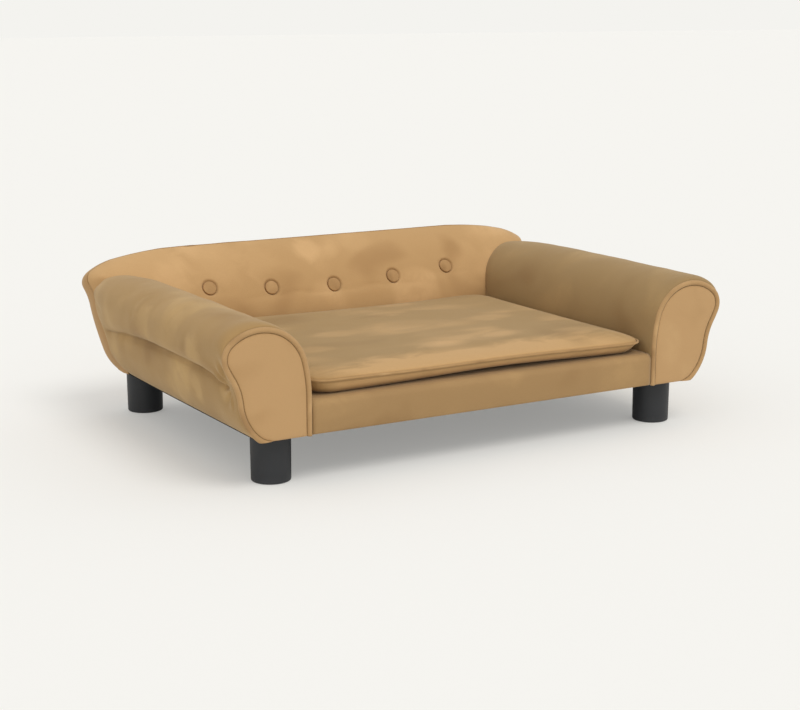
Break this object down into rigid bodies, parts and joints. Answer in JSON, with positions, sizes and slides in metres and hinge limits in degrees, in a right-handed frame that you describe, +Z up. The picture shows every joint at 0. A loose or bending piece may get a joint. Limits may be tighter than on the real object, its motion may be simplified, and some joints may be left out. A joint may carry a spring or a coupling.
{
  "type": "dog bed",
  "caption": "Low velvet pet sofa with rolled arms, a leaning buttoned back, a loose zipped seat cushion and short round feet.",
  "frame": {"origin": "on the floor, under the middle of the overall box", "axes": "+X along the width, to the right as seen from the front, +Y from the open front to the back, +Z up"},
  "size_m": [0.9102, 0.61, 0.274],
  "materials": {
    "velvet": "short-pile camel velvet, brushed in patches",
    "velvet_piping": "velvet cut on the bias over cord",
    "velvet_button": "velvet-covered button",
    "foam": "open-cell cushion foam",
    "softwood": "planed pine",
    "plywood": "birch plywood",
    "foot": "charcoal, satin",
    "glide": "grey felt-faced glide",
    "zinc": "zinc plated",
    "dust_cloth": "black non-woven cloth",
    "twine": "waxed tufting twine",
    "zip_cloth": "woven tape with nylon coil",
    "zip_metal": "antique plated"
  },
  "bodies": {
    "frame": {"arm_screws": "zinc", "back_board": "plywood", "back_border": "velvet", "back_buttons": "velvet_button", "back_foam": "foam", "back_front_cover": "velvet", "back_rear_cover": "velvet", "back_screws": "zinc", "back_top_batten": "softwood", "back_uprights": "plywood", "button_ties": "twine", "centre_rail": "softwood", "deck_cover": "velvet", "deck_foam": "foam", "dust_cover": "dust_cloth", "dust_cover_staples": "zinc", "foot_blocks": "softwood", "foot_front_left": "foot", "foot_front_right": "foot", "foot_glides": "glide", "foot_inserts": "zinc", "foot_rear_left": "foot", "foot_rear_right": "foot", "foot_studs": "zinc", "front_rail": "softwood", "left_arm_battens": "softwood", "left_arm_cover": "velvet", "left_arm_facing_board": "plywood", "left_arm_facing_cover": "velvet", "left_arm_foam": "foam", "left_arm_front_board": "plywood", "left_arm_rear_board": "plywood", "left_arm_welt": "velvet_piping", "left_inner_rail": "softwood", "left_side_rail": "softwood", "rear_rail": "softwood", "right_arm_battens": "softwood", "right_arm_cover": "velvet", "right_arm_facing_board": "plywood", "right_arm_facing_cover": "velvet", "right_arm_foam": "foam", "right_arm_front_board": "plywood", "right_arm_rear_board": "plywood", "right_arm_welt": "velvet_piping", "right_inner_rail": "softwood", "right_side_rail": "softwood", "seat_board": "plywood"},
    "cushion": {"cushion_cover": "velvet", "cushion_foam": "foam", "cushion_piping": "velvet_piping", "zip_tape": "zip_cloth"},
    "zip_slider": {"zip_slider": "zip_metal"},
    "zip_pull": {"zip_pull": "zip_metal"}
  },
  "joints": [
    {"name": "cushion_lift", "type": "slide", "parent": "frame", "child": "cushion", "axis": [0, 0, 1], "range_m": [0, 0.25]},
    {"name": "zip_run", "type": "slide", "parent": "cushion", "child": "zip_slider", "axis": [1, 0, 0], "range_m": [-0.26, 0]},
    {"name": "pull_swing", "type": "hinge", "parent": "zip_slider", "child": "zip_pull", "pos_m": [0.13, 0.18743, 0.13754], "axis": [1, 0, 0], "range_deg": [0, 45]}
  ]
}
